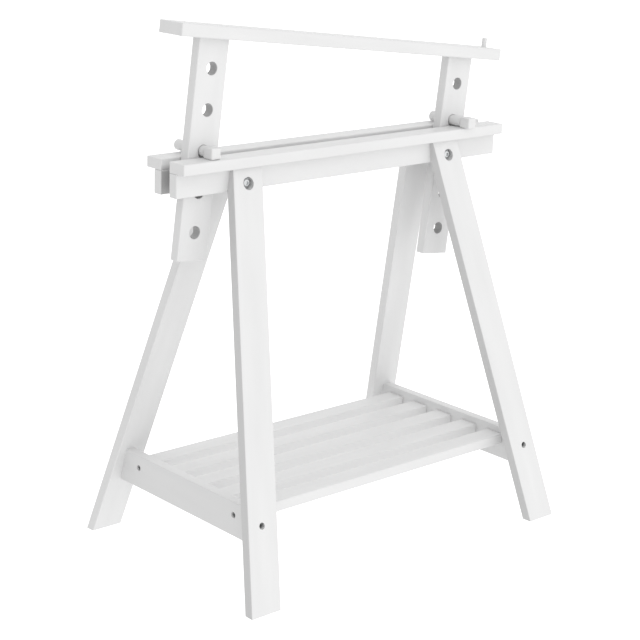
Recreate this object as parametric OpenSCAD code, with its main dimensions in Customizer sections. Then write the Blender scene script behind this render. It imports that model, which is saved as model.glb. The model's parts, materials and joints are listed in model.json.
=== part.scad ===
// Wooden table trestle: a height and tilt adjustable top bar on two rails, four splayed legs and a slatted shelf.
// X runs along the rails, the front is -Y, Z is up, and the origin is on the floor under the middle of the rails.

/* [Boards] */
// Thickness of the boards
board_t = 18; // [15:0.5:22]
// Width of the legs, uprights, cross-rails and top board
board_w = 58; // [50:0.5:66]
// Radius on the long edges of the boards
edge_r = 2; // [1:0.25:3]

/* [Rails] */
// Length of the rails and of the top board
rail_len = 700; // [640:5:800]
// Height of the top of the slats above the floor
rail_top_z = 679; // [600:1:740]
// Width of a top slat
slat_w = 37; // [32:0.5:44]
// Height of an apron
apron_h = 38; // [32:0.5:46]
// Clearance on each side of an upright in the slot between the rails
slot_gap = 1.5; // [1:0.25:2.5]

/* [Legs] */
// Splay of the legs to the front and rear, in degrees
leg_splay = 16; // [12:0.5:18]
// Lean of the legs along the rails, in degrees
leg_lean = 8.3; // [6:0.1:9]
// Distance of a foot's outer edge from under the end of the rails
foot_inset = 3; // [0:0.5:20]

/* [Shelf] */
// Height of the underside of the cross-rails
cross_rail_z = 95; // [70:1:140]
// Depth of the shelf over its outermost slats
shelf_depth = 291; // [260:1:300]
// Width of a shelf slat
shelf_slat_w = 37; // [30:0.5:44]
// Drop from the top of the cross-rails to the top of the shelf slats
shelf_drop = 11.5; // [6:0.5:16]

/* [Top bar] */
// Thickness of the top board
top_t = 20; // [16:0.5:24]
// Distance from an end of the top board to the middle of its upright
upright_inset = 79; // [65:1:90]
// Distance between neighbouring peg holes
hole_pitch = 63.5; // [55:0.5:70]
// Distance from an end of an upright to its nearest peg hole
hole_margin = 46; // [40:0.5:60]
// Diameter of a peg hole
hole_d = 20; // [19:0.25:22]
// Number of peg holes in an upright
holes = 5; // [5:1:6]
// Number of free peg holes above the left peg
left_free_holes = 2; // [2:1:3]
// Number of free peg holes above the right peg
right_free_holes = 1; // [1:1:2]
// Shift of the left peg from its place under a level top bar in the middle of the rails
bar_shift = 13; // [0:1:20]

/* [Pegs] */
// Diameter of a peg's shank
peg_d = 17.5; // [15:0.25:18]
// Side of a peg's square head
peg_head_w = 18; // [18:0.25:22]
// Length of a peg's shank
peg_shank_len = 76; // [70:1:90]
// Length of a peg's head
peg_head_len = 22; // [12:1:30]
// Place of the front end of the left peg, in front of the middle of the slot
left_peg_front = 42; // [40:1:55]
// Place of the front end of the right peg, in front of the middle of the slot
right_peg_front = 57; // [50:1:62]

/* [Stop dowel] */
// Diameter of the stop dowel
stop_d = 9; // [6:0.5:10]
// Height of the stop dowel above the top board
stop_h = 16; // [8:0.5:20]
// Distance from the low end of the top board to the stop dowel
stop_inset = 15; // [10:1:40]

/* [Hidden] */
// Clearances
peg_gap = 0.3;
bolt_gap = 0.3;
thread_gap = 0.05;
dowel_gap = 0.1;
overrun = 1;
// Eased edges of pegs and holes
peg_chamfer = 1.5;
hole_chamfer = 0.8;
// Leg bolts and their washers and inserts
leg_bolt_d = 8;
leg_bolt_rise = 13;
leg_bolt_sink = 9;
leg_bolt_head_d = 14;
leg_bolt_head_h = 4;
leg_bolt_socket = 5;
leg_bolt_socket_depth = 2.5;
washer_d = 18;
washer_t = 1.6;
washer_gap = 1;
insert_d = 12;
insert_len = 14;
insert_inset = 0.5;
// Cross-rail bolts and their barrel nuts
rail_bolt_d = 6;
rail_bolt_rise = 36;
rail_bolt_out = 1;
rail_bolt_sink = 10;
rail_bolt_head_d = 10;
rail_bolt_head_h = 6;
rail_bolt_socket = 5;
rail_bolt_socket_depth = 3;
rail_bolt_tail = 6;
barrel_d = 10;
barrel_len = 11;
barrel_inset = 3.5;
barrel_slot_w = 1.2;
barrel_slot_depth = 1.5;
// Dowels
dowel_d = 8;
dowel_end_gap = 0.5;
dowel_wall = 2;
rail_dowel_in_slat = 12;
rail_dowels_per_rail = 4;
rail_dowel_margin = 60;
board_dowel_len = 38;
board_dowel_in_top = 14;
board_dowel_spacing = 30;
shelf_dowel_d = 6;
shelf_dowel_len = 26;
shelf_dowel_in_rail = 5.5;
shelf_dowel_spacing = 24;
stop_dowel_depth = 12;
// Spacer blocks
spacer_from_upright = 111;
spacer_len = 44;
spacer_dowel_in_apron = 12;
spacer_dowel_spacing = 24;
// Rails
slat_z = rail_top_z - board_t;
apron_z = slat_z - apron_h;
slot_w = board_t + 2 * slot_gap;
rail_dowel_in_apron = apron_h / 2 - dowel_d / 2 - dowel_wall;
rail_dowel_len = rail_dowel_in_slat + rail_dowel_in_apron;
slot_y = slot_w / 2;
apron_y = slot_y + board_t;
// Legs, whose inner faces start at the lower outer edges of the aprons
leg_dy = tan(leg_splay);
leg_dx = tan(leg_lean) / cos(leg_splay);
leg_depth = board_t / cos(leg_splay);
leg_width = board_w / cos(leg_lean);
foot_y = apron_y + leg_depth + apron_z * leg_dy;
foot_x = rail_len / 2 - foot_inset - leg_width / 2;
leg_bolt_z = apron_z + leg_bolt_rise;
leg_bolt_x = leg_x(leg_bolt_z);
leg_bolt_seat_y = leg_y(leg_bolt_z) - leg_bolt_sink;
// Cross-rails
cross_rail_top = cross_rail_z + board_w;
cross_rail_x = leg_x(cross_rail_z + board_w / 2);
rail_bolt_x = cross_rail_x + rail_bolt_out;
rail_bolt_z = cross_rail_z + rail_bolt_rise;
rail_bolt_seat_y = leg_y(rail_bolt_z) - rail_bolt_sink;
// Shelf
shelf_slats = 5;
shelf_top = cross_rail_top - shelf_drop;
shelf_half = cross_rail_x - board_t / 2;
shelf_pitch = (shelf_depth - shelf_slat_w) / (shelf_slats - 1);
// Barrel nuts, each between the two dowels of an outermost shelf slat
barrel_y = (shelf_depth - shelf_slat_w) / 2;
rail_bolt_len = rail_bolt_seat_y - barrel_y + rail_bolt_tail;
// Top bar, in its own frame: origin in the middle of the underside of the top board
upright_span = rail_len - 2 * upright_inset;
upright_len = 2 * hole_margin + (holes - 1) * hole_pitch;
left_drop = hole_margin + left_free_holes * hole_pitch;
bar_tilt = atan((left_free_holes - right_free_holes) * hole_pitch / upright_span);
spacer_x = upright_span / 2 - spacer_from_upright;
// Pegs, which lie on the slats, with the top bar hanging on them
peg_z = rail_top_z + peg_gap + peg_head_w / 2;
hole_z = peg_z + peg_d / 2 + peg_gap - hole_d / 2;
left_peg_x = -upright_span / 2 - bar_shift;
right_peg_x = left_peg_x + upright_span / cos(bar_tilt);
// Smoothness of the round pieces
$fn = 64;

// Middle of a leg's width, and its outer face, at height z
function leg_x(z) = foot_x - z * leg_dx;
function leg_y(z) = foot_y - z * leg_dy;
// Places of the dowels along a rail, and of the shelf slats across the shelf
function rail_dowel_x(i) = (rail_len - 2 * rail_dowel_margin) * (i / (rail_dowels_per_rail - 1) - 1 / 2);
function shelf_slat_y(i) = (shelf_slat_w - shelf_depth) / 2 + i * shelf_pitch;

// Rectangle of size w by h round the origin, with round corners
module round_rect(w, h, r) {
    square([w - 2 * r, h], center = true);
    square([w, h - 2 * r], center = true);
    for (x = [-1, 1], y = [-1, 1])
        translate([x * (w / 2 - r), y * (h / 2 - r)]) circle(r);
}

// Board along X, centred in X and Y, standing on its underside, with all its edges eased
module long_board(len, w, t) {
    intersection() {
        translate([-len / 2, 0, t / 2]) rotate([90, 0, 90]) linear_extrude(len) round_rect(w, t, edge_r);
        translate([0, w / 2, t / 2]) rotate([90, 0, 0]) linear_extrude(w) round_rect(len, t, edge_r);
        linear_extrude(t) round_rect(len, w, edge_r);
    }
}

// Round rod of diameter d along Y from y = from to y = to
module y_rod(d, from, to) {
    translate([0, from, 0]) rotate([-90, 0, 0]) cylinder(h = to - from, d = d);
}

// Hexagonal socket of width w across its flats along Y, from y = from to y = to
module y_hex(w, from, to) {
    translate([0, from, 0]) rotate([-90, 0, 0]) cylinder(h = to - from, d = w / cos(30), $fn = 6);
}

// Copies of the children at the front and rear
module front_and_rear() {
    children();
    mirror([0, 1, 0]) children();
}

// Copies of the children at the left and right
module left_and_right() {
    children();
    mirror([1, 0, 0]) children();
}

// Places of the dowels of one rail, at the middle of the apron's thickness
module at_rail_dowels() {
    for (i = [0 : rail_dowels_per_rail - 1])
        translate([rail_dowel_x(i), -slot_y - board_t / 2, slat_z - rail_dowel_in_apron]) children();
}

module rail_dowel_holes() {
    at_rail_dowels()
        translate([0, 0, -dowel_end_gap])
            cylinder(h = rail_dowel_len + 2 * dowel_end_gap, d = dowel_d + 2 * dowel_gap);
}

// Places of the dowels through the spacer block on the left
module at_spacer_dowels() {
    for (x = [-1, 1])
        translate([-spacer_x + x * spacer_dowel_spacing / 2, 0, apron_z + apron_h / 2]) children();
}

module spacer_dowel_holes() {
    reach = slot_y + spacer_dowel_in_apron + dowel_end_gap;
    at_spacer_dowels() y_rod(dowel_d + 2 * dowel_gap, -reach, reach);
}

// Top slat at the front
module top_slat() {
    color("white") difference() {
        translate([0, -slot_y - slat_w / 2, slat_z]) long_board(rail_len, slat_w, board_t);
        rail_dowel_holes();
    }
}

// Apron at the front, with a bore and a seat for each leg bolt
module apron() {
    color("white") difference() {
        translate([0, -slot_y - board_t / 2, apron_z]) long_board(rail_len, board_t, apron_h);
        rail_dowel_holes();
        left_and_right() spacer_dowel_holes();
        left_and_right() translate([-leg_bolt_x, 0, leg_bolt_z]) {
            y_rod(leg_bolt_d + 2 * bolt_gap, -apron_y - overrun, -slot_y + overrun);
            y_rod(insert_d + 2 * thread_gap, -slot_y - insert_inset - insert_len, -slot_y + overrun);
        }
    }
}

// Leg at the front left, cut level at the floor and upright against the apron
module leg() {
    long = rail_top_z / cos(leg_splay) / cos(leg_lean) + board_w;
    color("white") difference() {
        intersection() {
            translate([-foot_x, -foot_y, 0])
                rotate([-leg_splay, 0, 0])
                    rotate([0, leg_lean, 0])
                        translate([0, board_t / 2, -board_w])
                            linear_extrude(long + board_w) round_rect(board_w, board_t, edge_r);
            translate([-rail_len, -rail_len - apron_y, 0]) cube([2 * rail_len, rail_len, slat_z]);
        }
        translate([-leg_bolt_x, 0, leg_bolt_z]) {
            y_rod(leg_bolt_d + 2 * bolt_gap, -leg_bolt_seat_y - overrun, -apron_y + overrun);
            y_rod(washer_d + 2 * washer_gap, -leg_bolt_seat_y - leg_depth, -leg_bolt_seat_y);
        }
        translate([-rail_bolt_x, 0, rail_bolt_z]) {
            y_rod(rail_bolt_d + 2 * bolt_gap, -rail_bolt_seat_y - overrun, -rail_bolt_seat_y + leg_depth);
            y_rod(rail_bolt_head_d + 2 * bolt_gap, -rail_bolt_seat_y - leg_depth, -rail_bolt_seat_y);
        }
    }
}

// Cross-rail on the left, with its ends cut to the splay of the legs
module cross_rail() {
    low_y = leg_y(cross_rail_z) - leg_depth;
    high_y = leg_y(cross_rail_top) - leg_depth;
    color("white") difference() {
        translate([-cross_rail_x, 0, 0]) intersection() {
            translate([-board_t / 2, 0, 0]) rotate([90, 0, 90]) linear_extrude(board_t) polygon([
                [-low_y, cross_rail_z], [low_y, cross_rail_z], [high_y, cross_rail_top], [-high_y, cross_rail_top]
            ]);
            translate([0, foot_y, cross_rail_z + board_w / 2])
                rotate([90, 0, 0]) linear_extrude(2 * foot_y) round_rect(board_t, board_w, edge_r);
        }
        front_and_rear() {
            translate([-rail_bolt_x, 0, rail_bolt_z])
                y_rod(rail_bolt_d + 2 * bolt_gap, -foot_y, -barrel_y + rail_bolt_tail + bolt_gap);
            translate([-cross_rail_x - board_t / 2 - overrun, -barrel_y, rail_bolt_z]) rotate([0, 90, 0])
                cylinder(h = overrun + barrel_inset + barrel_len, d = barrel_d + 2 * thread_gap);
        }
        shelf_dowel_holes();
    }
}

// Places of the shelf dowels at the left ends of the slats
module at_shelf_dowels() {
    for (i = [0 : shelf_slats - 1], y = [-1, 1])
        translate([
            -shelf_half - shelf_dowel_in_rail,
            shelf_slat_y(i) + y * shelf_dowel_spacing / 2,
            shelf_top - board_t / 2
        ]) rotate([0, 90, 0]) children();
}

module shelf_dowel_holes() {
    at_shelf_dowels()
        translate([0, 0, -dowel_end_gap])
            cylinder(h = shelf_dowel_len + 2 * dowel_end_gap, d = shelf_dowel_d + 2 * dowel_gap);
}

// Shelf slat number i from the front
module shelf_slat(i) {
    color("white") difference() {
        translate([0, shelf_slat_y(i), shelf_top - board_t]) long_board(2 * shelf_half, shelf_slat_w, board_t);
        left_and_right() shelf_dowel_holes();
    }
}

// Frame of the top bar, tilted about the peg hole in use on the left
module top_bar_frame() {
    translate([left_peg_x, 0, hole_z])
        rotate([0, bar_tilt, 0])
            translate([upright_span / 2, 0, left_drop]) children();
}

module board_dowel_holes() {
    for (side = [-1, 1], x = [-1, 1])
        translate([
            side * upright_span / 2 + x * board_dowel_spacing / 2,
            0,
            board_dowel_in_top - board_dowel_len - dowel_end_gap
        ]) cylinder(h = board_dowel_len + 2 * dowel_end_gap, d = dowel_d + 2 * dowel_gap);
}

// Top board, with the holes for the dowels of the uprights and for the stop dowel
module top_board() {
    color("white") top_bar_frame() difference() {
        long_board(rail_len, board_w, top_t);
        board_dowel_holes();
        translate([rail_len / 2 - stop_inset, 0, top_t - stop_dowel_depth - dowel_end_gap])
            cylinder(h = stop_dowel_depth + dowel_end_gap + overrun, d = stop_d + 2 * dowel_gap);
    }
}

// Peg hole through an upright, eased at both faces
module peg_hole() {
    y_rod(hole_d, -board_t / 2 - overrun, board_t / 2 + overrun);
    front_and_rear() translate([0, -board_t / 2 - overrun, 0]) rotate([-90, 0, 0])
        cylinder(h = hole_chamfer + overrun, d1 = hole_d + 2 * (hole_chamfer + overrun), d2 = hole_d);
}

// Upright on one side of the top bar: -1 for the left, 1 for the right
module upright(side) {
    color("white") top_bar_frame() difference() {
        translate([side * upright_span / 2, 0, -upright_len]) intersection() {
            linear_extrude(upright_len) round_rect(board_w, board_t, edge_r);
            translate([0, board_t / 2, upright_len / 2 + edge_r]) rotate([90, 0, 0]) linear_extrude(board_t)
                round_rect(board_w, upright_len + 2 * edge_r, edge_r);
            translate([-board_w / 2, 0, upright_len / 2 + edge_r]) rotate([90, 0, 90]) linear_extrude(board_w)
                round_rect(board_t, upright_len + 2 * edge_r, edge_r);
        }
        for (i = [0 : holes - 1])
            translate([side * upright_span / 2, 0, -hole_margin - i * hole_pitch]) peg_hole();
        board_dowel_holes();
    }
}

// Peg with its axis at x and the front end of its head at y = -front
module peg(x, front) {
    shoulder = -front + peg_head_len;
    color("white") translate([x, 0, peg_z]) {
        translate([0, shoulder, 0]) rotate([90, 0, 0]) intersection() {
            linear_extrude(peg_head_len) round_rect(peg_head_w, peg_head_w, edge_r);
            translate([0, peg_head_w / 2, peg_head_len / 2]) rotate([90, 0, 0]) linear_extrude(peg_head_w)
                round_rect(peg_head_w, peg_head_len, edge_r);
            translate([-peg_head_w / 2, 0, peg_head_len / 2]) rotate([90, 0, 90]) linear_extrude(peg_head_w)
                round_rect(peg_head_w, peg_head_len, edge_r);
        }
        y_rod(peg_d, shoulder - peg_head_len / 2, shoulder + peg_shank_len - peg_chamfer);
        translate([0, shoulder + peg_shank_len - peg_chamfer, 0]) rotate([-90, 0, 0])
            cylinder(h = peg_chamfer, d1 = peg_d, d2 = peg_d - 2 * peg_chamfer);
    }
}

// Stop dowel in the top board, with a chamfered top
module stop_dowel() {
    color("white") top_bar_frame() translate([rail_len / 2 - stop_inset, 0, top_t - stop_dowel_depth]) {
        cylinder(h = stop_dowel_depth + stop_h - peg_chamfer, d = stop_d);
        translate([0, 0, stop_dowel_depth + stop_h - peg_chamfer])
            cylinder(h = peg_chamfer, d1 = stop_d, d2 = stop_d - 2 * peg_chamfer);
    }
}

// Spacer block between the aprons on the left
module spacer_block() {
    color("white") difference() {
        translate([-spacer_x - spacer_len / 2, -slot_y, apron_z]) cube([spacer_len, slot_w, apron_h]);
        spacer_dowel_holes();
    }
}

// Bolt along Y, with its head at the front and its seat at y = 0
module socket_bolt(d, len, head_d, head_h, socket, socket_depth) {
    difference() {
        union() {
            y_rod(head_d, -head_h, 0);
            y_rod(d, 0, len);
        }
        y_hex(socket, -head_h - overrun, -head_h + socket_depth);
    }
}

module leg_bolts() {
    len = leg_bolt_seat_y + washer_t - slot_y - 2 * insert_inset;
    color("silver") front_and_rear() left_and_right()
        translate([-leg_bolt_x, -leg_bolt_seat_y - washer_t, leg_bolt_z])
            socket_bolt(leg_bolt_d, len, leg_bolt_head_d, leg_bolt_head_h,
                leg_bolt_socket, leg_bolt_socket_depth);
}

module leg_washers() {
    color("silver") front_and_rear() left_and_right()
        translate([-leg_bolt_x, -leg_bolt_seat_y, leg_bolt_z]) difference() {
            y_rod(washer_d, -washer_t, 0);
            y_rod(leg_bolt_d + 2 * bolt_gap, -washer_t - overrun, overrun);
        }
}

module leg_inserts() {
    color("silver") front_and_rear() left_and_right()
        translate([-leg_bolt_x, -slot_y - insert_inset, leg_bolt_z]) difference() {
            y_rod(insert_d, -insert_len, 0);
            y_rod(leg_bolt_d + 2 * thread_gap, -insert_len - overrun, overrun);
        }
}

module cross_rail_bolts() {
    color("dimgray") front_and_rear() left_and_right()
        translate([-rail_bolt_x, -rail_bolt_seat_y, rail_bolt_z])
            socket_bolt(rail_bolt_d, rail_bolt_len, rail_bolt_head_d, rail_bolt_head_h,
                rail_bolt_socket, rail_bolt_socket_depth);
}

module barrel_nuts() {
    color("dimgray") front_and_rear() left_and_right()
        difference() {
            translate([-cross_rail_x - board_t / 2 + barrel_inset, -barrel_y, rail_bolt_z]) rotate([0, 90, 0])
                cylinder(h = barrel_len, d = barrel_d);
            translate([-rail_bolt_x, -barrel_y, rail_bolt_z])
                y_rod(rail_bolt_d + 2 * thread_gap, -barrel_d, barrel_d);
            translate([-cross_rail_x - board_t / 2 + barrel_inset, -barrel_y, rail_bolt_z])
                cube([2 * barrel_slot_depth, 2 * barrel_d, barrel_slot_w], center = true);
        }
}

module rail_dowels() {
    color("burlywood") front_and_rear() at_rail_dowels() cylinder(h = rail_dowel_len, d = dowel_d);
}

module spacer_dowels() {
    reach = slot_y + spacer_dowel_in_apron;
    color("burlywood") left_and_right() at_spacer_dowels() y_rod(dowel_d, -reach, reach);
}

module board_dowels() {
    color("burlywood") top_bar_frame() for (side = [-1, 1], x = [-1, 1])
        translate([
            side * upright_span / 2 + x * board_dowel_spacing / 2,
            0,
            board_dowel_in_top - board_dowel_len
        ]) cylinder(h = board_dowel_len, d = dowel_d);
}

module shelf_dowels() {
    color("burlywood") left_and_right() at_shelf_dowels() cylinder(h = shelf_dowel_len, d = shelf_dowel_d);
}

top_slat();  // front_top_slat
mirror([0, 1, 0]) top_slat();  // rear_top_slat
apron();  // front_apron
mirror([0, 1, 0]) apron();  // rear_apron
leg();  // front_left_leg
mirror([1, 0, 0]) leg();  // front_right_leg
mirror([0, 1, 0]) leg();  // rear_left_leg
mirror([1, 0, 0]) mirror([0, 1, 0]) leg();  // rear_right_leg
cross_rail();  // left_cross_rail
mirror([1, 0, 0]) cross_rail();  // right_cross_rail
shelf_slat(0);  // shelf_slat_1
shelf_slat(1);  // shelf_slat_2
shelf_slat(2);  // shelf_slat_3
shelf_slat(3);  // shelf_slat_4
shelf_slat(4);  // shelf_slat_5
top_board();
upright(-1);  // left_upright
upright(1);  // right_upright
stop_dowel();
peg(left_peg_x, left_peg_front);  // left_peg
peg(right_peg_x, right_peg_front);  // right_peg
spacer_block();  // left_spacer_block
mirror([1, 0, 0]) spacer_block();  // right_spacer_block
leg_bolts();
leg_washers();
leg_inserts();
cross_rail_bolts();
barrel_nuts();
rail_dowels();
spacer_dowels();
board_dowels();
shelf_dowels();
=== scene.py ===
"""Looks of a white-painted wooden table trestle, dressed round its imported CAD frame."""

import json
import math

import bpy
import numpy as np
from bpy.props import FloatProperty, FloatVectorProperty, PointerProperty
from mathutils import Matrix, Vector


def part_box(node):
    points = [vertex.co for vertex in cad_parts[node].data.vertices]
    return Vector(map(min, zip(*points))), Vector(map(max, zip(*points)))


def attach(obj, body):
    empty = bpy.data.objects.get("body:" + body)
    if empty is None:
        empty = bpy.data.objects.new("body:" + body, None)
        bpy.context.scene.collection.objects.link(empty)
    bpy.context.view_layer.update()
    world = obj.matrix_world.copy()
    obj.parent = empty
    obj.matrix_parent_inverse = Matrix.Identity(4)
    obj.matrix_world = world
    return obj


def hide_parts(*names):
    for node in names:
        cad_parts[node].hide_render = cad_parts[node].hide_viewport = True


bl_info = {
    "name": "Table Trestle Looks",
    "version": (1, 0, 0),
    "blender": (4, 5, 0),
    "location": "View3D > Sidebar > Trestle",
    "description": "Paint, hardware and stage for a height-adjustable wooden table trestle",
    "category": "Object",
}

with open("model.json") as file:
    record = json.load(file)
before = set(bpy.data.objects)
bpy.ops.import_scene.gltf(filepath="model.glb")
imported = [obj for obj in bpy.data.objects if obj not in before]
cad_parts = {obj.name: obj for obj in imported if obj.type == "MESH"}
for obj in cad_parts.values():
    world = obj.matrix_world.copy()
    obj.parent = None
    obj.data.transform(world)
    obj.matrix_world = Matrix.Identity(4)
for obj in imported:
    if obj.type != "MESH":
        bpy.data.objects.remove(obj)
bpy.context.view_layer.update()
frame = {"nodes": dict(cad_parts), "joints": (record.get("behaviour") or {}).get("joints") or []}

MM = 0.001
WHITE = (1, 1, 1, 1)
X_AXIS, Y_AXIS, Z_AXIS = np.eye(3)
JOINTS = {joint["name"]: joint for joint in frame["joints"]}
# The uprights slide along their own length, so the height joint's axis is that of the tilted bar.
BAR_AXIS = np.array(JOINTS["height"]["axis"], float)
# The bar turns about the peg hole in use on its left.
PIVOT = tuple(JOINTS["tilt"]["pos_m"])

RAIL_BOARDS = ("front_top_slat", "rear_top_slat", "front_apron", "rear_apron")
SHELF_BOARDS = tuple(name for name in frame["nodes"] if name.startswith("shelf_slat_"))
CROSS_RAILS = ("left_cross_rail", "right_cross_rail")
SPACERS = ("left_spacer_block", "right_spacer_block")
UPRIGHTS = ("left_upright", "right_upright")
PEGS = ("left_peg", "right_peg")
DOWELS = ("rail_dowels", "spacer_dowels", "board_dowels", "shelf_dowels")
# Signs of each leg's foot along X and Y.
LEGS = {
    "front_left_leg": (-1, -1),
    "front_right_leg": (1, -1),
    "rear_left_leg": (-1, 1),
    "rear_right_leg": (1, 1),
}

# Points round a bolt or a washer, round a peg and round the stop dowel.
BOLT_RING = 72
PEG_RING = 192
PIN_RING = 64
# Points along a quarter round, along one that bends over a bolt's head and along a washer's edge.
QUARTER = 7
DOME_QUARTER = 11
WASHER_QUARTER = 5
# Edges that turn by more than this are shaded sharp.
SHARP_EDGE = math.radians(40)
# The flat crown of a bolt's head reaches at least this share of its socket's width from the axis.
CROWN_SHARE = 0.72
# The dome of a bolt's head spreads in from its edge by this many times its rise.
DOME_SPREAD = 1.6

# Span that holds most of a noise texture's values.
NOISE_SPAN = {"From Min": 0.3, "From Max": 0.7}
GRAIN_NOISE = {"Detail": 3, "Roughness": 0.6}
SOFT_NOISE = {"Detail": 2}
# Roughness of each mottled finish, from its smoothest places to its roughest.
PAINT_SHEEN = (0.36, 0.48)
BRIGHT_PLATE_SHEEN = (0.2, 0.34)
GREY_PLATE_SHEEN = (0.3, 0.45)
DULL_PLATE_SHEEN = (0.4, 0.55)
PAINT_IOR = 1.5
RIPPLE_STRENGTH = 0.5
BEECH_ROUGHNESS = 0.65
FLOOR_ROUGHNESS = 0.9
# A leg's face starts to take painted shade as a narrow face, and wholly takes it, at these shares of its
# normal along X.
NARROW_SHARES = (0.5, 0.9)
# Half the width over which one wall's brightness changes to that of the wall across from it.
WALL_CHANGE = 0.01


def linear(hex_colour):
    """Linear RGB of an sRGB hex colour."""
    srgb = np.array([int(hex_colour[i : i + 2], 16) for i in (1, 3, 5)]) / 255
    return tuple(np.where(srgb <= 0.04045, srgb / 12.92, ((srgb + 0.055) / 1.055) ** 2.4))


def length(name, description, millimetres):
    """A size property whose default is given in millimetres."""
    return FloatProperty(
        name=name, description=description, default=millimetres * MM, precision=5, unit="LENGTH"
    )


def angle(name, description, degrees):
    """An angle property whose default is given in degrees."""
    return FloatProperty(
        name=name, description=description, default=math.radians(degrees), subtype="ANGLE"
    )


def colour(name, description, hex_colour):
    """A colour property whose default is given as an sRGB hex value."""
    return FloatVectorProperty(
        name=name, description=description, default=linear(hex_colour), subtype="COLOR", min=0, max=1
    )


def share(name, description, value):
    """A property that is a share of something else."""
    return FloatProperty(
        name=name, description=description, default=value, subtype="FACTOR", min=0, max=1
    )


class TrestleSizes(bpy.types.PropertyGroup):
    """Sizes of the turned and whittled pieces and of the patterns of the finishes."""

    leg_splay: angle("Leg splay", "Splay of the legs to the front and rear", 16)
    leg_lean: angle("Leg lean", "Lean of the legs along the rails", 8.3)
    grain_length: length("Grain length", "Length of a streak of the grain under the paint", 140)
    grain_width: length("Grain width", "Width of a streak of the grain under the paint", 4)
    brush_length: length("Brush mark length", "Length of the soft tone changes left by the brush", 180)
    brush_width: length("Brush mark width", "Width of the soft tone changes left by the brush", 30)
    bore_pitch: length("Bore pitch", "Distance between neighbouring peg holes", 63.5)
    bore_width: length("Bore width", "Diameter of a peg hole", 20)
    # How far the painted shade in the bores and the slot fades out.
    shade_fade: length("Paint fade", "Distance over which the paint thins towards a bore or the slot", 0.8)
    paint_ripple: length("Paint ripple", "Depth of the grain that shows through the paint", 0.12)
    plate_grit: length("Plate grit", "Size of the mottles in the zinc plate", 1.2)
    fleck_length: length("Fleck length", "Length of the flecks in the bare beech", 3)
    fleck_width: length("Fleck width", "Width of the flecks in the bare beech", 1)
    leg_bolt_shank: length("Leg bolt shank", "Diameter of a leg bolt", 8)
    leg_bolt_head: length("Leg bolt head", "Height of a leg bolt's button head", 4)
    leg_bolt_dome: share("Leg bolt dome", "Share of a leg bolt's head that is its dome", 0.7)
    leg_bolt_flats: length("Leg bolt socket", "Width across the flats of a leg bolt's socket", 5)
    leg_bolt_socket: length("Leg bolt socket depth", "Depth of a leg bolt's socket", 2.5)
    bolt_end_inset: length("Bolt end inset", "Distance of a leg bolt's end from the slot", 1)
    washer_thickness: length("Washer thickness", "Thickness of a leg bolt's washer", 1.6)
    washer_gap: length("Washer gap", "Clearance of a washer round its bolt", 0.3)
    washer_round: length("Washer edge", "Radius on the edges of a pressed washer", 0.4)
    rail_bolt_shank: length("Cross-rail bolt shank", "Diameter of a cross-rail bolt", 6)
    rail_bolt_head: length("Cross-rail bolt head", "Height of a cross-rail bolt's head", 6)
    rail_bolt_dome: share("Cross-rail bolt dome", "Share of its head that is its dome", 0.1)
    rail_bolt_flats: length("Cross-rail bolt socket", "Width across the flats of its socket", 5)
    rail_bolt_socket: length("Cross-rail bolt socket depth", "Depth of its socket", 3)
    rail_bolt_tail: length("Cross-rail bolt tail", "Length of bolt past the barrel nut's middle", 6)
    bolt_edge: length("Bolt edge", "Rounding on the edges of bolts", 0.6)
    peg_shank: length("Peg shank", "Diameter of a peg's shank", 17.5)
    peg_head: length("Peg head", "Length of a peg's square head", 22)
    peg_round: length("Peg edge", "Radius on the edges of a peg's head", 2)
    peg_tip: length("Peg tip", "Rounding at the end of a peg's shank", 1.5)
    stop_round: length("Stop dowel edge", "Rounding on the top of the stop dowel", 1.2)


class TrestleFinishes(bpy.types.PropertyGroup):
    """Colours of the paint, the painted shade, the plate, the bare wood and the floor."""

    paint: colour("Paint", "White satin paint", "#E3E3E3")
    paint_shade: colour("Paint shade", "Paint where the brush left it thin", "#D9D9D9")
    # Grey of the painted shade that darkens the peg holes, the slot between the rails and the front legs'
    # narrow faces.
    painted_shade: colour("Painted shade", "Painted shade in the bores and the slot, and on leg edges", "#B0B0B0")
    # Share of painted shade that darkens the front legs' narrow faces for the way the light falls on them.
    front_leg_edge_shade: share("Leg edges", "Share of thin paint on the narrow faces of the front legs", 0.45)
    zinc: colour("Zinc plate", "Bright zinc plate on the leg bolts and washers", "#C9CBCC")
    dull_zinc: colour("Dull zinc plate", "Zinc plate on cross-rail bolts, nuts and inserts", "#8B8C8C")
    beech: colour("Beech", "Bare beech of the dowels", "#D2AC7E")
    beech_dark: colour("Beech flecks", "Darker flecks in the beech", "#B98F5F")
    floor: colour("Floor", "Studio floor, as it looks without its own glow", "#B4B4B4")


class TrestleStage(bpy.types.PropertyGroup):
    """Camera and light of the studio."""

    camera_place: FloatVectorProperty(
        name="Camera",
        description="Place of the camera",
        default=(-1.872046, -2.063857, 1.176488),
        subtype="TRANSLATION",
        unit="LENGTH",
    )
    camera_azimuth: angle("Azimuth", "Turn of the camera about the vertical", -41.833)
    camera_elevation: angle("Elevation", "Height of the camera above the horizon", 16.205)
    camera_roll: angle("Roll", "Roll of the camera", 1.795)
    camera_lens: FloatProperty(
        name="Lens", description="Focal length in millimetres", default=96.114, unit="CAMERA"
    )
    floor_radius: length("Floor radius", "Half the side of the studio floor", 60000)
    floor_glow: FloatProperty(
        name="Floor glow", description="Brightness of the lit floor in the picture", default=1
    )
    low_walls: FloatVectorProperty(
        name="Left, front, below",
        description="Brightness of the studio's walls at the left, the front and below",
        default=(0.62, 1.45, 1),
    )
    high_walls: FloatVectorProperty(
        name="Right, rear, above",
        description="Brightness of the studio's walls at the right, the rear and above",
        default=(0.95, 1.2, 1),
    )


def unit(vector):
    """The vector at a length of 1."""
    return np.asarray(vector, float) / np.linalg.norm(vector)


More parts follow.
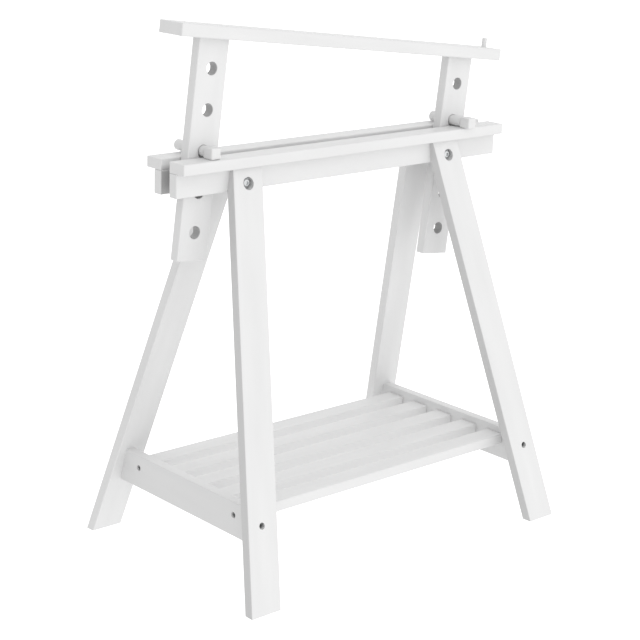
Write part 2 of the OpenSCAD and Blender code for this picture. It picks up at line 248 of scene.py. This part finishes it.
def round_axes(axis):
    """Two directions u and v square to the axis, with u x v along it."""
    helper = Y_AXIS if abs(axis[2]) > abs(axis[1]) else Z_AXIS
    v = unit(helper - helper @ axis * axis)
    return np.cross(v, axis), v


def ring_turns(count):
    """Evenly spaced angles once round a ring."""
    return np.linspace(0, 2 * np.pi, count, endpoint=False)


def around(reach, along, origin, axis):
    """Points of a surface round an axis.

    Row i lies along[i] up the axis, and its point j stands reach[i, j] from the axis at turn j.
    """
    u, v = round_axes(axis)
    turns = ring_turns(reach.shape[1])
    spokes = np.cos(turns)[:, None] * u + np.sin(turns)[:, None] * v
    return origin + along[:, None, None] * axis + reach[:, :, None] * spokes


def closed_skin(rows):
    """Vertices and blocks of faces over rows of rings, whose first and last rows close to a point."""
    count, ring, _ = rows.shape
    vertices = np.concatenate([rows[:1].mean(1), rows[1:-1].reshape(-1, 3), rows[-1:].mean(1)])
    here = 1 + np.arange((count - 2) * ring).reshape(count - 2, ring)
    beside = np.roll(here, -1, axis=1)
    quads = np.stack([here[:-1], beside[:-1], beside[1:], here[1:]], -1).reshape(-1, 4)
    first = np.stack([np.zeros(ring, int), beside[0], here[0]], -1)
    last = np.stack([np.full(ring, len(vertices) - 1), here[-1], beside[-1]], -1)
    return vertices, (first, quads, last)


def ring_skin(rows):
    """Vertices and the block of faces over rows of rings, where the last row joins the first."""
    count, ring, _ = rows.shape
    here = np.arange(count * ring).reshape(count, ring)
    beside, above = np.roll(here, -1, axis=1), np.roll(here, -1, axis=0)
    quads = np.stack([here, beside, np.roll(above, -1, axis=1), above], -1).reshape(-1, 4)
    return rows.reshape(-1, 3), (quads,)


def arc(start, end, leaves_across, count=QUARTER):
    """Quarter ellipse from start to end, as rows of (along, radius).

    Its shares of the way along and of the way across are the sine of the sweep and 1 less its cosine,
    or the other way round where it leaves start across the axis.
    """
    sweep = np.linspace(0, np.pi / 2, count)
    shares = np.stack([np.sin(sweep), 1 - np.cos(sweep)], -1)
    if leaves_across:
        shares = shares[:, ::-1]
    return np.array(start) + shares * (np.array(end) - np.array(start))


def hexagon(turns):
    """Reach of a hexagon whose flats stand 1 from its middle: 1 / cos of the turn from the nearest flat."""
    sector = np.pi / 3
    return 1 / np.cos((turns + sector / 2) % sector - sector / 2)


def rounded_square(turns, half, corner):
    """Reach of a square with round corners.

    A ray meets a flat side at half / its larger share, or else the corner's arc about (half - corner).
    """
    c, s = np.abs(np.cos(turns)), np.abs(np.sin(turns))
    inner = half - corner
    flat = half / np.maximum(c, s)
    middle = inner * (c + s)
    bend = middle + np.sqrt(np.maximum(middle**2 - 2 * inner**2 + corner**2, 0))
    return np.where(flat * np.minimum(c, s) <= inner, flat, bend)


def socket_bolt(origin, axis, shank, end, head_radius, head, flats, depth, edge, dome):
    """A bolt turned about its axis, with a hexagonal socket.

    Its profile runs from the shank's end up to the head, round the head's edge, over a dome that
    rises by a share of the head, and down into the socket, whose rows take the hexagon's reach.
    """
    turns = ring_turns(BOLT_RING)
    rim = head * (1 - dome)
    crown = max(flats * CROWN_SHARE, head_radius - max(edge, head * dome * DOME_SPREAD))
    fillet, under, lip = edge / 4, edge / 2, edge / 3
    drill_point = flats / 6
    outside = np.concatenate(
        [
            [(-end, 0), (-end, shank - edge)],
            arc((-end, shank - edge), (-end + edge, shank), True),
            [(-fillet, shank), (0, shank + fillet), (0, head_radius - under)],
            arc((0, head_radius - under), (under, head_radius), True),
            arc((max(rim - edge, under), head_radius), (head, crown), False, DOME_QUARTER),
        ]
    )
    socket = np.array([(head, flats / 2 + lip), (head - lip, flats / 2), (head - depth, flats / 2)])
    reach = np.concatenate(
        [
            np.repeat(outside[:, 1:], len(turns), axis=1),
            socket[:, 1:] * hexagon(turns),
            np.zeros((1, len(turns))),
        ]
    )
    along = np.concatenate([outside[:, 0], socket[:, 0], [head - depth - drill_point]])
    return closed_skin(around(reach, along, origin, axis))


def pressed_washer(origin, axis, inner, outer, thickness, edge):
    """A washer: a rounded rectangle between the inner and outer radius carried round the axis."""
    section = np.concatenate(
        [
            arc((0, outer - edge), (edge, outer), True, WASHER_QUARTER),
            arc((thickness - edge, outer), (thickness, outer - edge), False, WASHER_QUARTER),
            arc((thickness, inner + edge), (thickness - edge, inner), True, WASHER_QUARTER),
            arc((edge, inner), (0, inner + edge), False, WASHER_QUARTER),
        ]
    )
    reach = np.repeat(section[:, 1:], BOLT_RING, axis=1)
    return ring_skin(around(reach, section[:, 0], origin, axis))


def whittled_peg(origin, axis, head, shank_end, half, corner, shank, tip):
    """A peg along its axis: a rounded square head, its ends eased by insets, then a round shank.

    An eased end's row lies 1 - cos of its sweep in from the end and is inset by 1 - sin of it.
    """
    turns = ring_turns(PEG_RING)
    sweep = np.linspace(0, np.pi / 2, QUARTER)
    insets, places = corner * (1 - np.sin(sweep)), corner * (1 - np.cos(sweep))
    least_corner, shoulder = tip / 10, tip / 3
    squares = [rounded_square(turns, half - i, max(corner - i, least_corner)) for i in insets]
    round_shank = np.full_like(turns, shank)
    rows = [(0, np.zeros_like(turns))]
    rows += zip(places, squares)
    rows += zip(head - places[::-1], squares[::-1])
    rows.append((head, np.minimum(round_shank, squares[0])))
    rows.append((head + shoulder, round_shank))
    for place, reach in arc((shank_end - tip, shank), (shank_end, shank - tip), False):
        rows.append((place, np.full_like(turns, reach)))
    rows.append((shank_end, np.zeros_like(turns)))
    along = np.array([row[0] for row in rows])
    return closed_skin(around(np.stack([row[1] for row in rows]), along, origin, axis))


def round_pin(origin, axis, reach, radius, edge):
    """A round pin along its axis, turned from a profile with a quarter ellipse at its top edge."""
    top = arc((reach - edge, radius), (reach, radius - edge), False)
    profile = np.concatenate([[(0, 0), (0, radius)], top, [(reach, 0)]])
    return closed_skin(around(np.repeat(profile[:, 1:], PIN_RING, axis=1), profile[:, 0], origin, axis))


def add_piece(name, skins, material, body, nodes):
    """One mesh object from several skins, riding on a body in place of CAD nodes."""
    vertices, faces, start = [], [], 0
    for points, blocks in skins:
        vertices.append(points)
        for block in blocks:
            faces += (start + block).tolist()
        start += len(points)
    mesh = bpy.data.meshes.new(name)
    mesh.from_pydata(np.concatenate(vertices).tolist(), [], faces)
    mesh.polygons.foreach_set("use_smooth", np.ones(len(mesh.polygons), bool))
    mesh.set_sharp_from_angle(angle=SHARP_EDGE)
    mesh.materials.append(material)
    mesh.validate()
    piece = bpy.data.objects.new(name, mesh)
    bpy.context.scene.collection.objects.link(piece)
    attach(piece, body)
    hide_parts(*nodes)


def add_node(tree, kind, settings, links=()):
    """A shader node with its properties and sockets set, and its inputs linked to (node, output)."""
    node = tree.nodes.new(kind)
    for key, value in settings.items():
        if key in node.inputs:
            node.inputs[key].default_value = value
        else:
            setattr(node, key, value)
    for socket, (source, output) in dict(links).items():
        tree.links.new(source.outputs[output], node.inputs[socket])
    return node


def new_material(name):
    """An empty node material, and its tree."""
    material = bpy.data.materials.new(name)
    material.use_nodes = True
    material.node_tree.nodes.clear()
    return material, material.node_tree


def finish_material(tree, settings, links):
    """Ends a material's tree with its shader and output."""
    shader = add_node(tree, "ShaderNodeBsdfPrincipled", settings, links)
    add_node(tree, "ShaderNodeOutputMaterial", {}, {"Surface": (shader, "BSDF")})


def grain_turn(grain):
    """Euler turn of a pattern whose X runs along the grain."""
    u, v = round_axes(grain)
    return Matrix(np.stack([grain, u, v], -1).tolist()).to_euler("XYZ")


def opaque(rgb):
    """A colour with full cover."""
    return (*rgb, 1)


def spotted(tree, place, spots, noise, turn=(0, 0, 0)):
    """Noise whose spots have the given sizes along the axes of the turned pattern."""
    pattern = add_node(
        tree,
        "ShaderNodeMapping",
        {"vector_type": "TEXTURE", "Rotation": turn, "Scale": spots},
        {"Vector": (place, "Object")},
    )
    return add_node(tree, "ShaderNodeTexNoise", {"Scale": 1, **noise}, {"Vector": (pattern, "Vector")})


def mottled_sheen(tree, noise, sheen):
    """Roughness that follows a noise from the first value of the sheen to the second."""
    smooth, rough = sheen
    return add_node(
        tree,
        "ShaderNodeMapRange",
        {**NOISE_SPAN, "To Min": smooth, "To Max": rough},
        {"Value": (noise, "Fac")},
    )


def fade_out(tree, distance, edge):
    """1 up to the edge, then down to 0 over the fade of the painted shade."""
    fade = bpy.context.scene.trestle_sizes.shade_fade
    return add_node(
        tree,
        "ShaderNodeMapRange",
        {"From Min": edge, "From Max": edge + fade, "To Min": 1, "To Max": 0},
        {"Value": distance},
    )


def shade_in_bores(tree, place):
    """1 in the peg holes, where painted shade darkens the bores: each lies at a whole number of pitches up
    its upright from the pivot.

    Distances along and across the uprights fold back at half the pitch and at half the span.
    """
    sizes = bpy.context.scene.trestle_sizes
    left, right = (sum(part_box(name), Vector()) / 2 for name in UPRIGHTS)
    steps = (sizes.bore_pitch / 2, (right - left).length / 2)
    from_pivot = add_node(
        tree,
        "ShaderNodeMapping",
        {"vector_type": "TEXTURE", "Location": PIVOT, "Rotation": grain_turn(BAR_AXIS)},
        {"Vector": (place, "Object")},
    )
    shares = add_node(tree, "ShaderNodeSeparateXYZ", {}, {"Vector": (from_pivot, "Vector")})
    folded = add_node(tree, "ShaderNodeCombineXYZ", {})
    for axis, step in zip("XY", steps):
        fold = add_node(tree, "ShaderNodeMath", {"operation": "PINGPONG"}, {0: (shares, axis)})
        fold.inputs[1].default_value = step
        tree.links.new(fold.outputs["Value"], folded.inputs[axis])
    distance = add_node(tree, "ShaderNodeVectorMath", {"operation": "LENGTH"}, {0: (folded, "Vector")})
    return fade_out(tree, (distance, "Value"), sizes.bore_width / 2)


def shade_in_slot(tree, place):
    """1 on the faces that look into the slot between the rails, fading to 0 at the middle of the slats:
    there painted shade darkens the slot.
    """
    low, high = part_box("front_top_slat")
    shares = add_node(tree, "ShaderNodeSeparateXYZ", {}, {"Vector": (place, "Object")})
    depth = add_node(tree, "ShaderNodeMath", {"operation": "ABSOLUTE"}, {0: (shares, "Y")})
    inside = fade_out(tree, (depth, "Value"), -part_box("front_apron")[1].y)
    return add_node(
        tree,
        "ShaderNodeMapRange",
        {"From Min": low.z, "From Max": (low.z + high.z) / 2, "To Max": 0},
        {"Value": (shares, "Z"), "To Min": (inside, "Result")},
    )


def narrow_face_shade(tree, place):
    """A share of painted shade on the narrow faces of a leg, which look along X or against it."""
    start, whole = NARROW_SHARES
    facing = add_node(tree, "ShaderNodeSeparateXYZ", {}, {"Vector": (place, "Normal")})
    sideways = add_node(tree, "ShaderNodeMath", {"operation": "ABSOLUTE"}, {0: (facing, "X")})
    return add_node(
        tree,
        "ShaderNodeMapRange",
        {"From Min": start, "From Max": whole, "To Max": bpy.context.scene.trestle_finishes.front_leg_edge_shade},
        {"Value": (sideways, "Value")},
    )


def painted_wood(label, grain, shade_places=None):
    """Satin white paint on a sawn and sanded softwood board.

    To the eye: an even white with a soft sheen, faint streaks of grain that the paint has not quite filled,
    broad tone changes where it was brushed on, and painted shade, a grey tone, in the places given.
    """
    sizes, finishes = bpy.context.scene.trestle_sizes, bpy.context.scene.trestle_finishes
    material, tree = new_material("satin_white_paint_" + label)
    turn = grain_turn(unit(grain))
    place = add_node(tree, "ShaderNodeTexCoord", {})
    streak = (sizes.grain_length, sizes.grain_width, sizes.grain_width)
    stroke = (sizes.brush_length, sizes.brush_width, sizes.brush_width)
    streaks = spotted(tree, place, streak, GRAIN_NOISE, turn)
    strokes = spotted(tree, place, stroke, SOFT_NOISE, turn)
    tone = add_node(
        tree,
        "ShaderNodeMixRGB",
        {"Color1": opaque(finishes.paint), "Color2": opaque(finishes.paint_shade)},
        {"Fac": (strokes, "Fac")},
    )
    # Painted shade: grey mixed into the paint where the places' mask says, for shade that falls there.
    if shade_places:
        tone = add_node(
            tree,
            "ShaderNodeMixRGB",
            {"Color2": opaque(finishes.painted_shade)},
            {"Fac": (shade_places(tree, place), "Result"), "Color1": (tone, "Color")},
        )
    sheen = mottled_sheen(tree, streaks, PAINT_SHEEN)
    relief = add_node(
        tree,
        "ShaderNodeBump",
        {"Strength": RIPPLE_STRENGTH, "Distance": sizes.paint_ripple},
        {"Height": (streaks, "Fac")},
    )
    finish_material(
        tree,
        {"IOR": PAINT_IOR},
        {"Base Color": (tone, "Color"), "Roughness": (sheen, "Result"), "Normal": (relief, "Normal")},
    )
    return material


def zinc_plate(label, rgb, sheen):
    """Zinc plate on steel, barrel-plated.

    To the eye: a grey metal with soft highlights, faintly mottled in sheen where the plate varies.
    """
    material, tree = new_material(label)
    place = add_node(tree, "ShaderNodeTexCoord", {})
    mottles = spotted(tree, place, (bpy.context.scene.trestle_sizes.plate_grit,) * 3, SOFT_NOISE)
    roughness = mottled_sheen(tree, mottles, sheen)
    finish_material(
        tree, {"Base Color": opaque(rgb), "Metallic": 1}, {"Roughness": (roughness, "Result")}
    )
    return material


def bare_beech():
    """Bare planed beech.

    To the eye: a matt tan wood with short darker flecks along its grain.
    """
    sizes, finishes = bpy.context.scene.trestle_sizes, bpy.context.scene.trestle_finishes
    material, tree = new_material("bare_beech")
    place = add_node(tree, "ShaderNodeTexCoord", {})
    fleck = (sizes.fleck_length, sizes.fleck_width, sizes.fleck_width)
    flecks = spotted(tree, place, fleck, SOFT_NOISE)
    tone = add_node(
        tree,
        "ShaderNodeMixRGB",
        {"Color1": opaque(finishes.beech), "Color2": opaque(finishes.beech_dark)},
        {"Fac": (flecks, "Fac")},
    )
    finish_material(tree, {"Roughness": BEECH_ROUGHNESS}, {"Base Color": (tone, "Color")})
    return material


def dress(names, material):
    """Gives CAD nodes a material in place of the one they came with."""
    for name in names:
        mesh = frame["nodes"][name].data
        mesh.materials.clear()
        mesh.materials.append(material)


def corner_places(node):
    """Half width of a four-fold set of fasteners along Z, and their places along X, Z and out along Y."""
    low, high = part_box(node)
    half = (high.z - low.z) / 2
    return half, high.x - half, (high.z + low.z) / 2, high.y


def both_ways(x, y, z):
    """Places at the left and right, front and rear, each with its outward direction along Y."""
    return [(np.array((i * x, j * y, z)), j * Y_AXIS) for i in (-1, 1) for j in (-1, 1)]


class TRESTLE_OT_boards(bpy.types.Operator):
    """Paints the boards, each along its own grain"""

    bl_idname = "trestle.boards"
    bl_label = "Paint the boards"

    def execute(self, context):
        sizes = context.scene.trestle_sizes
        # The rails' slot and the uprights' bores get painted shade.
        dress((*RAIL_BOARDS, *SPACERS), painted_wood("rails", X_AXIS, shade_in_slot))
        dress(SHELF_BOARDS, painted_wood("shelf", X_AXIS))
        dress(CROSS_RAILS, painted_wood("cross_rails", Y_AXIS))
        dress(UPRIGHTS, painted_wood("uprights", BAR_AXIS, shade_in_bores))
        dress(("top_board",), painted_wood("top_board", np.cross(Y_AXIS, BAR_AXIS)))
        rise = 1 / math.cos(sizes.leg_splay)
        for name, (side, end) in LEGS.items():
            grain = (-side * math.tan(sizes.leg_lean) * rise, -end * math.tan(sizes.leg_splay), 1)
            # Only the front legs get painted shade on their narrow faces; the rear legs' narrow faces keep
            # the plain paint.
            dress((name,), painted_wood(name, grain, narrow_face_shade if end < 0 else None))
        return {"FINISHED"}


class TRESTLE_OT_hidden_hardware(bpy.types.Operator):
    """Finishes the nuts, inserts and dowels"""

    bl_idname = "trestle.hidden_hardware"
    bl_label = "Finish the nuts, inserts and dowels"

    def execute(self, context):
        dull_zinc = context.scene.trestle_finishes.dull_zinc
        plate = zinc_plate("dull_zinc_plate", dull_zinc, DULL_PLATE_SHEEN)
        dress(("barrel_nuts", "leg_inserts"), plate)
        dress(DOWELS, bare_beech())
        return {"FINISHED"}


class TRESTLE_OT_leg_bolts(bpy.types.Operator):
    """Turns the button-head leg bolts and presses their washers"""

    bl_idname = "trestle.leg_bolts"
    bl_label = "Make the leg bolts"

    def execute(self, context):
        sizes = context.scene.trestle_sizes
        zinc = context.scene.trestle_finishes.zinc
        plate = zinc_plate("bright_zinc_plate", zinc, BRIGHT_PLATE_SHEEN)
        radius, x, z, front = corner_places("leg_bolts")
        seat = front - sizes.leg_bolt_head
        slot = -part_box("front_apron")[1].y
        bolts = [
            socket_bolt(
                place,
                axis,
                sizes.leg_bolt_shank / 2,
                seat - slot - sizes.bolt_end_inset,
                radius,
                sizes.leg_bolt_head,
                sizes.leg_bolt_flats,
                sizes.leg_bolt_socket,
                sizes.bolt_edge,
                sizes.leg_bolt_dome,
            )
            for place, axis in both_ways(x, seat, z)
        ]
        add_piece("button_head_leg_bolts", bolts, plate, "trestle", ["leg_bolts"])
        outer, x, z, face = corner_places("leg_washers")
        washers = [
            pressed_washer(
                place,
                axis,
                sizes.leg_bolt_shank / 2 + sizes.washer_gap,
                outer,
                sizes.washer_thickness,
                sizes.washer_round,
            )
            for place, axis in both_ways(x, face - sizes.washer_thickness, z)
        ]
        add_piece("pressed_leg_washers", washers, plate, "trestle", ["leg_washers"])
        return {"FINISHED"}


class TRESTLE_OT_cross_rail_bolts(bpy.types.Operator):
    """Turns the cap-head bolts that hold the cross-rails"""

    bl_idname = "trestle.cross_rail_bolts"
    bl_label = "Make the cross-rail bolts"

    def execute(self, context):
        sizes = context.scene.trestle_sizes
        dull_zinc = context.scene.trestle_finishes.dull_zinc
        plate = zinc_plate("grey_zinc_plate", dull_zinc, GREY_PLATE_SHEEN)
        radius, x, z, front = corner_places("cross_rail_bolts")
        nut_radius, _, _, nut_front = corner_places("barrel_nuts")
        seat = front - sizes.rail_bolt_head
        bolts = [
            socket_bolt(
                place,
                axis,
                sizes.rail_bolt_shank / 2,
                seat - (nut_front - nut_radius) + sizes.rail_bolt_tail,
                radius,
                sizes.rail_bolt_head,
                sizes.rail_bolt_flats,
                sizes.rail_bolt_socket,
                sizes.bolt_edge,
                sizes.rail_bolt_dome,
            )
            for place, axis in both_ways(x, seat, z)
        ]
        add_piece("cap_head_cross_rail_bolts", bolts, plate, "trestle", ["cross_rail_bolts"])
        return {"FINISHED"}


class TRESTLE_OT_pegs(bpy.types.Operator):
    """Whittles the two square-headed pegs"""

    bl_idname = "trestle.pegs"
    bl_label = "Make the pegs"

    def execute(self, context):
        sizes = context.scene.trestle_sizes
        paint = painted_wood("pegs", Y_AXIS)
        for node in PEGS:
            low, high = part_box(node)
            middle = (low + high) / 2
            skin = whittled_peg(
                np.array((middle.x, low.y, middle.z)),
                Y_AXIS,
                sizes.peg_head,
                high.y - low.y,
                (high.z - low.z) / 2,
                sizes.peg_round,
                sizes.peg_shank / 2,
                sizes.peg_tip,
            )
            add_piece("whittled_" + node, [skin], paint, node, [node])
        return {"FINISHED"}


class TRESTLE_OT_stop_dowel(bpy.types.Operator):
    """Turns the stop dowel on the top board"""

    bl_idname = "trestle.stop_dowel"
    bl_label = "Make the stop dowel"

    def execute(self, context):
        low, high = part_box("stop_dowel")
        diameter = high.y - low.y
        reach = (high.z - low.z - diameter * BAR_AXIS[0]) / BAR_AXIS[2]
        foot = np.array((low + high) / 2) - BAR_AXIS * reach / 2
        skin = round_pin(foot, BAR_AXIS, reach, diameter / 2, context.scene.trestle_sizes.stop_round)
        add_piece(
            "round_topped_stop_dowel",
            [skin],
            painted_wood("stop_dowel", BAR_AXIS),
            "top_bar",
            ["stop_dowel"],
        )
        return {"FINISHED"}


class TRESTLE_OT_stage(bpy.types.Operator):
    """Lays the studio floor and sets the light and the camera"""

    bl_idname = "trestle.stage"
    bl_label = "Set the stage"

    def execute(self, context):
        scene, stage = context.scene, context.scene.trestle_stage
        self.lay_floor(stage, scene.trestle_finishes)
        self.set_light(scene, stage)
        self.set_camera(scene, stage)
        return {"FINISHED"}

    def lay_floor(self, stage, finishes):
        """A flat square of pale floor that is lit from within as well, as a light table is."""
        far = stage.floor_radius
        mesh = bpy.data.meshes.new("studio_floor")
        corners = np.array([(-far, -far, 0), (far, -far, 0), (far, far, 0), (-far, far, 0)])
        mesh.from_pydata(corners.tolist(), [], [(0, 1, 2, 3)])
        material, tree = new_material("pale_studio_floor")
        finish_material(
            tree,
            {
                "Base Color": opaque(finishes.floor),
                "Roughness": FLOOR_ROUGHNESS,
                "Specular IOR Level": 0,
                "Emission Color": WHITE,
                "Emission Strength": stage.floor_glow,
            },
            {},
        )
        material.cycles.emission_sampling = "NONE"
        mesh.materials.append(material)
        floor = bpy.data.objects.new("studio_floor", mesh)
        bpy.context.scene.collection.objects.link(floor)
        # The trestle takes its light from the six walls alone, and the floor only shows in the picture.
        floor.visible_diffuse = floor.visible_glossy = floor.visible_shadow = False

    def set_light(self, scene, stage):
        """A soft white studio, each of whose six walls has its own brightness.

        The light from a direction is the sum over the axes of its squared share along the axis times
        the brightness of the wall on that side.
        """
        world = bpy.data.worlds.new("studio_light")
        world.use_nodes = True
        tree = world.node_tree
        way = add_node(tree, "ShaderNodeTexCoord", {})
        walls = add_node(
            tree, "ShaderNodeMapRange", {"data_type": "FLOAT_VECTOR"}, {"Vector": (way, "Generated")}
        )
        # The four sockets after the linked one take the ends. Their names aren't unique on the node.
        vector_sockets = [socket for socket in walls.inputs if socket.type == "VECTOR"][1:5]
        ends = ((-WALL_CHANGE,) * 3, (WALL_CHANGE,) * 3, stage.low_walls, stage.high_walls)
        for socket, value in zip(vector_sockets, ends):
            socket.default_value = value
        squares = add_node(
            tree,
            "ShaderNodeVectorMath",
            {"operation": "MULTIPLY"},
            {0: (way, "Generated"), 1: (way, "Generated")},
        )
        level = add_node(
            tree,
            "ShaderNodeVectorMath",
            {"operation": "DOT_PRODUCT"},
            {0: (walls, "Vector"), 1: (squares, "Vector")},
        )
        background = tree.nodes["Background"]
        background.inputs["Color"].default_value = WHITE
        tree.links.new(level.outputs["Value"], background.inputs["Strength"])
        scene.world = world
        scene.view_settings.view_transform = "Standard"

    def set_camera(self, scene, stage):
        """The camera at its place, turned by azimuth and elevation, then rolled about its own axis."""
        turn, lift, roll = stage.camera_azimuth, stage.camera_elevation, stage.camera_roll
        back = Vector((math.sin(turn) * math.cos(lift), -math.cos(turn) * math.cos(lift), math.sin(lift)))
        right = Vector((math.cos(turn), math.sin(turn), 0))
        up = back.cross(right)
        axes = Matrix(
            (
                math.cos(roll) * right + math.sin(roll) * up,
                math.cos(roll) * up - math.sin(roll) * right,
                back,
            )
        ).transposed()
        camera_data = bpy.data.cameras.new("camera")
        camera_data.lens = stage.camera_lens
        camera = bpy.data.objects.new("camera", camera_data)
        camera.matrix_world = Matrix.Translation(stage.camera_place) @ axes.to_4x4()
        scene.collection.objects.link(camera)
        scene.camera = camera


STEPS = (
    TRESTLE_OT_boards,
    TRESTLE_OT_hidden_hardware,
    TRESTLE_OT_leg_bolts,
    TRESTLE_OT_cross_rail_bolts,
    TRESTLE_OT_pegs,
    TRESTLE_OT_stop_dowel,
    TRESTLE_OT_stage,
)


class TRESTLE_PT_looks(bpy.types.Panel):
    """Lists the steps that dress the trestle"""

    bl_idname = "TRESTLE_PT_looks"
    bl_label = "Table Trestle"
    bl_space_type = "VIEW_3D"
    bl_region_type = "UI"
    bl_category = "Trestle"

    def draw(self, context):
        for step in STEPS:
            self.layout.operator(step.bl_idname)


GROUPS = {
    "trestle_sizes": TrestleSizes,
    "trestle_finishes": TrestleFinishes,
    "trestle_stage": TrestleStage,
}


def register():
    """Makes the classes and the groups of properties known to Blender."""
    for cls in (*GROUPS.values(), *STEPS, TRESTLE_PT_looks):
        bpy.utils.register_class(cls)
    for name, group in GROUPS.items():
        setattr(bpy.types.Scene, name, PointerProperty(type=group))


def unregister():
    """Takes back what register made known."""
    for name in GROUPS:
        delattr(bpy.types.Scene, name)
    for cls in reversed((*GROUPS.values(), *STEPS, TRESTLE_PT_looks)):
        bpy.utils.unregister_class(cls)


def main():
    """Dresses the trestle step by step."""
    register()
    bpy.ops.trestle.boards()
    bpy.ops.trestle.hidden_hardware()
    bpy.ops.trestle.leg_bolts()
    bpy.ops.trestle.cross_rail_bolts()
    bpy.ops.trestle.pegs()
    bpy.ops.trestle.stop_dowel()
    bpy.ops.trestle.stage()


if __name__ == "__main__":
    main()
